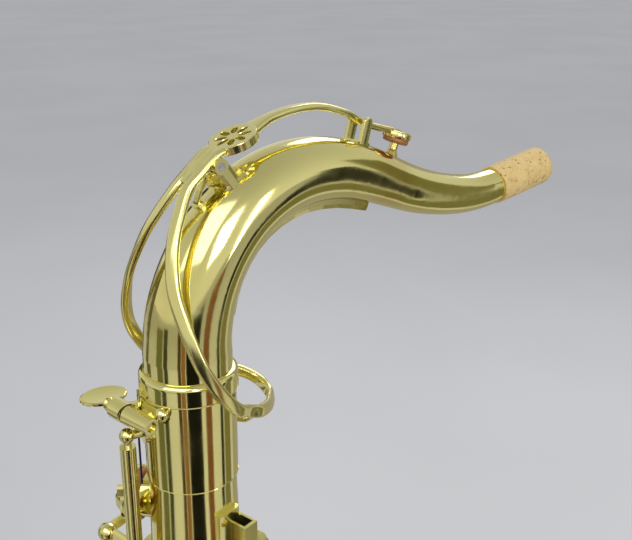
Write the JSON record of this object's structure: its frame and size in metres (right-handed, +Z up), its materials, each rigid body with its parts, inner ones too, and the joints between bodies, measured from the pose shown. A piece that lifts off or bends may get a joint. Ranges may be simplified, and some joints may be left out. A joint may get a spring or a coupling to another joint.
{
  "type": "tenor saxophone",
  "caption": "Curved tenor saxophone with a swivelling gooseneck, working octave mechanism, sprung key stacks and a flared bell.",
  "frame": {"origin": "centre of the strap ring's hole on the back of the body tube", "axes": "+Z up along the body tube towards the neck, +X from the bell towards the player and the neck's cork end, +Y the player's right, along the strap ring's hole"},
  "size_m": [0.3906, 0.1564, 0.7871],
  "materials": {
    "lacquered_brass": "clear lacquered and polished",
    "rod_steel": "turned steel",
    "spring_steel": "blued steel",
    "cork": "sanded natural cork",
    "pad_leather": "oiled kid leather"
  },
  "bodies": {
    "instrument_body": {"body_tube": "lacquered_brass", "neck_receiver": "lacquered_brass", "bow_tube": "lacquered_brass", "bell": "lacquered_brass", "joint_rings": "lacquered_brass", "bell_brace": "lacquered_brass", "key_posts": "lacquered_brass", "hinge_rods": "rod_steel", "key_springs": "spring_steel", "bell_key_guards": "lacquered_brass", "low_key_guards": "lacquered_brass", "strap_ring": "lacquered_brass", "thumb_rest": "lacquered_brass", "thumb_hook_base": "lacquered_brass", "lyre_holder": "lacquered_brass"},
    "neck": {"neck_tube": "lacquered_brass", "neck_tenon": "lacquered_brass", "neck_cork": "cork", "neck_brace": "lacquered_brass", "neck_octave_pip": "lacquered_brass", "neck_key_saddle": "lacquered_brass", "neck_key_leaf_spring": "spring_steel", "neck_key_guide": "lacquered_brass", "neck_key_pivot": "rod_steel"},
    "neck_octave_key_body": {"neck_octave_key": "lacquered_brass", "neck_octave_pad": "pad_leather"},
    "a_key": {"a_key": "lacquered_brass"},
    "b_key": {"b_key": "lacquered_brass"},
    "bis_key": {"bis_key": "lacquered_brass"},
    "body_octave_key": {"body_octave_key": "lacquered_brass"},
    "c_vent_key": {"c_vent_key": "lacquered_brass"},
    "d_key": {"d_key": "lacquered_brass"},
    "e_flat_key": {"e_flat_key": "lacquered_brass"},
    "e_key": {"e_key": "lacquered_brass"},
    "f_key": {"f_key": "lacquered_brass"},
    "f_sharp_key": {"f_sharp_key": "lacquered_brass"},
    "front_f_key": {"front_f_key": "lacquered_brass"},
    "g_key": {"g_key": "lacquered_brass"},
    "g_sharp_key": {"g_sharp_key": "lacquered_brass"},
    "g_sharp_lever": {"g_sharp_lever": "lacquered_brass"},
    "high_d_key": {"high_d_key": "lacquered_brass"},
    "high_e_flat_key": {"high_e_flat_key": "lacquered_brass"},
    "high_e_key": {"high_e_key": "lacquered_brass"},
    "high_f_key": {"high_f_key": "lacquered_brass"},
    "high_f_sharp_key": {"high_f_sharp_key": "lacquered_brass", "high_f_sharp_pad": "pad_leather"},
    "high_f_sharp_lever": {"high_f_sharp_lever": "lacquered_brass"},
    "low_b_flat_key": {"low_b_flat_key": "lacquered_brass"},
    "low_b_key": {"low_b_key": "lacquered_brass"},
    "low_c_key": {"low_c_key": "lacquered_brass"},
    "low_c_sharp_key": {"low_c_sharp_key": "lacquered_brass"},
    "lyre_screw": {"lyre_screw": "lacquered_brass"},
    "neck_clamp_screw": {"neck_clamp_screw": "lacquered_brass"},
    "octave_pin": {"octave_pin": "lacquered_brass"},
    "octave_thumb_lever": {"octave_thumb_lever": "lacquered_brass"},
    "side_b_flat_key": {"side_b_flat_key": "lacquered_brass"},
    "side_c_key": {"side_c_key": "lacquered_brass"},
    "thumb_hook": {"thumb_hook": "lacquered_brass"}
  },
  "joints": [
    {"name": "neck_swivel", "type": "hinge", "parent": "instrument_body", "child": "neck", "pos_m": [-0.03043, 0, 0.265], "axis": [0, 0, 1], "range_deg": [-15, 15]},
    {"name": "neck_octave_key_pivot", "type": "hinge", "parent": "neck", "child": "neck_octave_key_body", "pos_m": [-0.01946, 0, 0.33623], "axis": [0, 1, 0], "range_deg": [-2.6, 0]},
    {"name": "a_key_hinge", "type": "hinge", "parent": "instrument_body", "child": "a_key", "pos_m": [-0.05359, -0.01745, 0.265], "axis": [0, 0, 1], "range_deg": [-13.57, 0], "stiffness_Nm_per_rad": 0.12, "springref_deg": 20.05},
    {"name": "b_key_hinge", "type": "hinge", "parent": "instrument_body", "child": "b_key", "pos_m": [-0.05359, -0.01745, 0.265], "axis": [0, 0, 1], "range_deg": [-8.71, 0], "stiffness_Nm_per_rad": 0.12, "springref_deg": 20.05},
    {"name": "bis_key_hinge", "type": "hinge", "parent": "instrument_body", "child": "bis_key", "pos_m": [-0.05359, -0.01745, 0.265], "axis": [0, 0, 1], "range_deg": [-8.68, 0], "stiffness_Nm_per_rad": 0.12, "springref_deg": 20.05},
    {"name": "body_octave_key_pivot", "type": "hinge", "parent": "instrument_body", "child": "body_octave_key", "pos_m": [-0.01005, -0.01273, 0.12711], "axis": [0.5299, 0.848, 0], "range_deg": [0, 6.64], "stiffness_Nm_per_rad": 0.12, "springref_deg": -20.05},
    {"name": "c_vent_key_hinge", "type": "hinge", "parent": "instrument_body", "child": "c_vent_key", "pos_m": [-0.05359, -0.01745, 0.265], "axis": [0, 0, 1], "range_deg": [-8.74, 0]},
    {"name": "d_key_hinge", "type": "hinge", "parent": "instrument_body", "child": "d_key", "pos_m": [-0.06333, -0.01198, 0.265], "axis": [0, 0, 1], "range_deg": [-11.49, 0], "stiffness_Nm_per_rad": 0.12, "springref_deg": 20.05},
    {"name": "e_flat_key_hinge", "type": "hinge", "parent": "instrument_body", "child": "e_flat_key", "pos_m": [-0.06708, 0.00515, 0.265], "axis": [0, 0, 1], "range_deg": [0, 9.04], "stiffness_Nm_per_rad": 0.12, "springref_deg": -20.05},
    {"name": "e_key_hinge", "type": "hinge", "parent": "instrument_body", "child": "e_key", "pos_m": [-0.06333, -0.01198, 0.265], "axis": [0, 0, 1], "range_deg": [-11.6, 0], "stiffness_Nm_per_rad": 0.12, "springref_deg": 20.05},
    {"name": "f_key_hinge", "type": "hinge", "parent": "instrument_body", "child": "f_key", "pos_m": [-0.06333, -0.01198, 0.265], "axis": [0, 0, 1], "range_deg": [-11.67, 0], "stiffness_Nm_per_rad": 0.12, "springref_deg": 20.05},
    {"name": "f_sharp_key_hinge", "type": "hinge", "parent": "instrument_body", "child": "f_sharp_key", "pos_m": [-0.06333, -0.01198, 0.265], "axis": [0, 0, 1], "range_deg": [-11.71, 0]},
    {"name": "front_f_key_hinge", "type": "hinge", "parent": "instrument_body", "child": "front_f_key", "pos_m": [-0.0571, 0.0028, 0.265], "axis": [0, 0, 1], "range_deg": [-5, 0]},
    {"name": "g_key_hinge", "type": "hinge", "parent": "instrument_body", "child": "g_key", "pos_m": [-0.05359, -0.01745, 0.265], "axis": [0, 0, 1], "range_deg": [-13.48, 0], "stiffness_Nm_per_rad": 0.12, "springref_deg": 20.05},
    {"name": "g_sharp_key_hinge", "type": "hinge", "parent": "instrument_body", "child": "g_sharp_key", "pos_m": [-0.01634, -0.0265, 0.265], "axis": [0, 0, 1], "range_deg": [0, 9.77]},
    {"name": "g_sharp_lever_hinge", "type": "hinge", "parent": "instrument_body", "child": "g_sharp_lever", "pos_m": [-0.01634, -0.0265, 0.265], "axis": [0, 0, 1], "range_deg": [-5, 0], "stiffness_Nm_per_rad": 0.12, "springref_deg": 20.05},
    {"name": "high_d_key_hinge", "type": "hinge", "parent": "instrument_body", "child": "high_d_key", "pos_m": [-0.03377, -0.02379, 0.265], "axis": [0, 0, 1], "range_deg": [0, 11.26], "stiffness_Nm_per_rad": 0.12, "springref_deg": -20.05},
    {"name": "high_e_flat_key_hinge", "type": "hinge", "parent": "instrument_body", "child": "high_e_flat_key", "pos_m": [-0.03377, -0.02379, 0.265], "axis": [0, 0, 1], "range_deg": [0, 11.32], "stiffness_Nm_per_rad": 0.12, "springref_deg": -20.05},
    {"name": "high_e_key_hinge", "type": "hinge", "parent": "instrument_body", "child": "high_e_key", "pos_m": [-0.01597, 0.02965, 0.265], "axis": [0, 0, 1], "range_deg": [-9.2, 0], "stiffness_Nm_per_rad": 0.12, "springref_deg": 20.05},
    {"name": "high_f_key_hinge", "type": "hinge", "parent": "instrument_body", "child": "high_f_key", "pos_m": [-0.03377, -0.02379, 0.265], "axis": [0, 0, 1], "range_deg": [0, 11.36], "stiffness_Nm_per_rad": 0.12, "springref_deg": -20.05},
    {"name": "high_f_sharp_key_hinge", "type": "hinge", "parent": "instrument_body", "child": "high_f_sharp_key", "pos_m": [-0.05148, 0.00447, 0.265], "axis": [0, 0, 1], "range_deg": [0, 10.6]},
    {"name": "high_f_sharp_lever_hinge", "type": "hinge", "parent": "instrument_body", "child": "high_f_sharp_lever", "pos_m": [-0.00793, 0.02779, 0.265], "axis": [0, 0, 1], "range_deg": [-6, 0], "stiffness_Nm_per_rad": 0.12, "springref_deg": 20.05},
    {"name": "low_b_flat_key_hinge", "type": "hinge", "parent": "instrument_body", "child": "low_b_flat_key", "pos_m": [-0.0844, 0.01002, 0.265], "axis": [0, 0, 1], "range_deg": [0, 5.2], "stiffness_Nm_per_rad": 0.12, "springref_deg": -20.05},
    {"name": "low_b_key_hinge", "type": "hinge", "parent": "instrument_body", "child": "low_b_key", "pos_m": [-0.0844, 0.01798, 0.265], "axis": [0, 0, 1], "range_deg": [0, 5.51], "stiffness_Nm_per_rad": 0.12, "springref_deg": -20.05},
    {"name": "low_c_key_hinge", "type": "hinge", "parent": "instrument_body", "child": "low_c_key", "pos_m": [-0.06708, 0.00515, 0.265], "axis": [0, 0, 1], "range_deg": [-15.69, 0], "stiffness_Nm_per_rad": 0.12, "springref_deg": 20.05},
    {"name": "low_c_sharp_key_hinge", "type": "hinge", "parent": "instrument_body", "child": "low_c_sharp_key", "pos_m": [-0.0844, 0.02601, 0.265], "axis": [0, 0, 1], "range_deg": [0, 5.72], "stiffness_Nm_per_rad": 0.12, "springref_deg": -20.05},
    {"name": "lyre_screw_turn", "type": "hinge", "parent": "instrument_body", "child": "lyre_screw", "pos_m": [-0.02303, -0.01761, 0.2053], "axis": [0.9796, 0.2011, 0], "range_deg": [-180, 180]},
    {"name": "neck_clamp_screw_turn", "type": "hinge", "parent": "instrument_body", "child": "neck_clamp_screw", "pos_m": [-0.05014, 0.00181, 0.2591], "axis": [-0.1426, 0.9898, 0], "range_deg": [-180, 180]},
    {"name": "octave_pin_pivot", "type": "hinge", "parent": "instrument_body", "child": "octave_pin", "pos_m": [-0.00883, 0, 0.16514], "axis": [0, 1, 0], "range_deg": [0, 2.84]},
    {"name": "octave_thumb_lever_pivot", "type": "hinge", "parent": "instrument_body", "child": "octave_thumb_lever", "pos_m": [-0.00483, 0, 0.05558], "axis": [0, 1, 0], "range_deg": [-3.35, 0], "stiffness_Nm_per_rad": 0.12, "springref_deg": 20.05},
    {"name": "side_b_flat_key_hinge", "type": "hinge", "parent": "instrument_body", "child": "side_b_flat_key", "pos_m": [-0.00342, 0.01259, 0.265], "axis": [0, 0, 1], "range_deg": [-6.44, 0], "stiffness_Nm_per_rad": 0.12, "springref_deg": 20.05},
    {"name": "side_c_key_hinge", "type": "hinge", "parent": "instrument_body", "child": "side_c_key", "pos_m": [-0.0046, 0.02018, 0.265], "axis": [0, 0, 1], "range_deg": [-7, 0], "stiffness_Nm_per_rad": 0.12, "springref_deg": 20.05},
    {"name": "thumb_hook_slide", "type": "slide", "parent": "instrument_body", "child": "thumb_hook", "axis": [0, 0, 1], "range_m": [-0.008, 0.008]}
  ],
  "couplings": [
    {"joint": "octave_pin_pivot", "follows": "octave_thumb_lever_pivot", "ratio": -0.84873},
    {"joint": "neck_octave_key_pivot", "follows": "octave_thumb_lever_pivot", "ratio": 0.77554},
    {"joint": "g_sharp_key_hinge", "follows": "g_sharp_lever_hinge", "ratio": -1.9534},
    {"joint": "high_f_sharp_key_hinge", "follows": "high_f_sharp_lever_hinge", "ratio": -1.7658},
    {"joint": "f_sharp_key_hinge", "follows": "f_key_hinge", "ratio": 1.0036},
    {"joint": "c_vent_key_hinge", "follows": "a_key_hinge", "ratio": 0.64367},
    {"joint": "front_f_key_hinge", "follows": "high_f_key_hinge", "ratio": -0.43998}
  ]
}
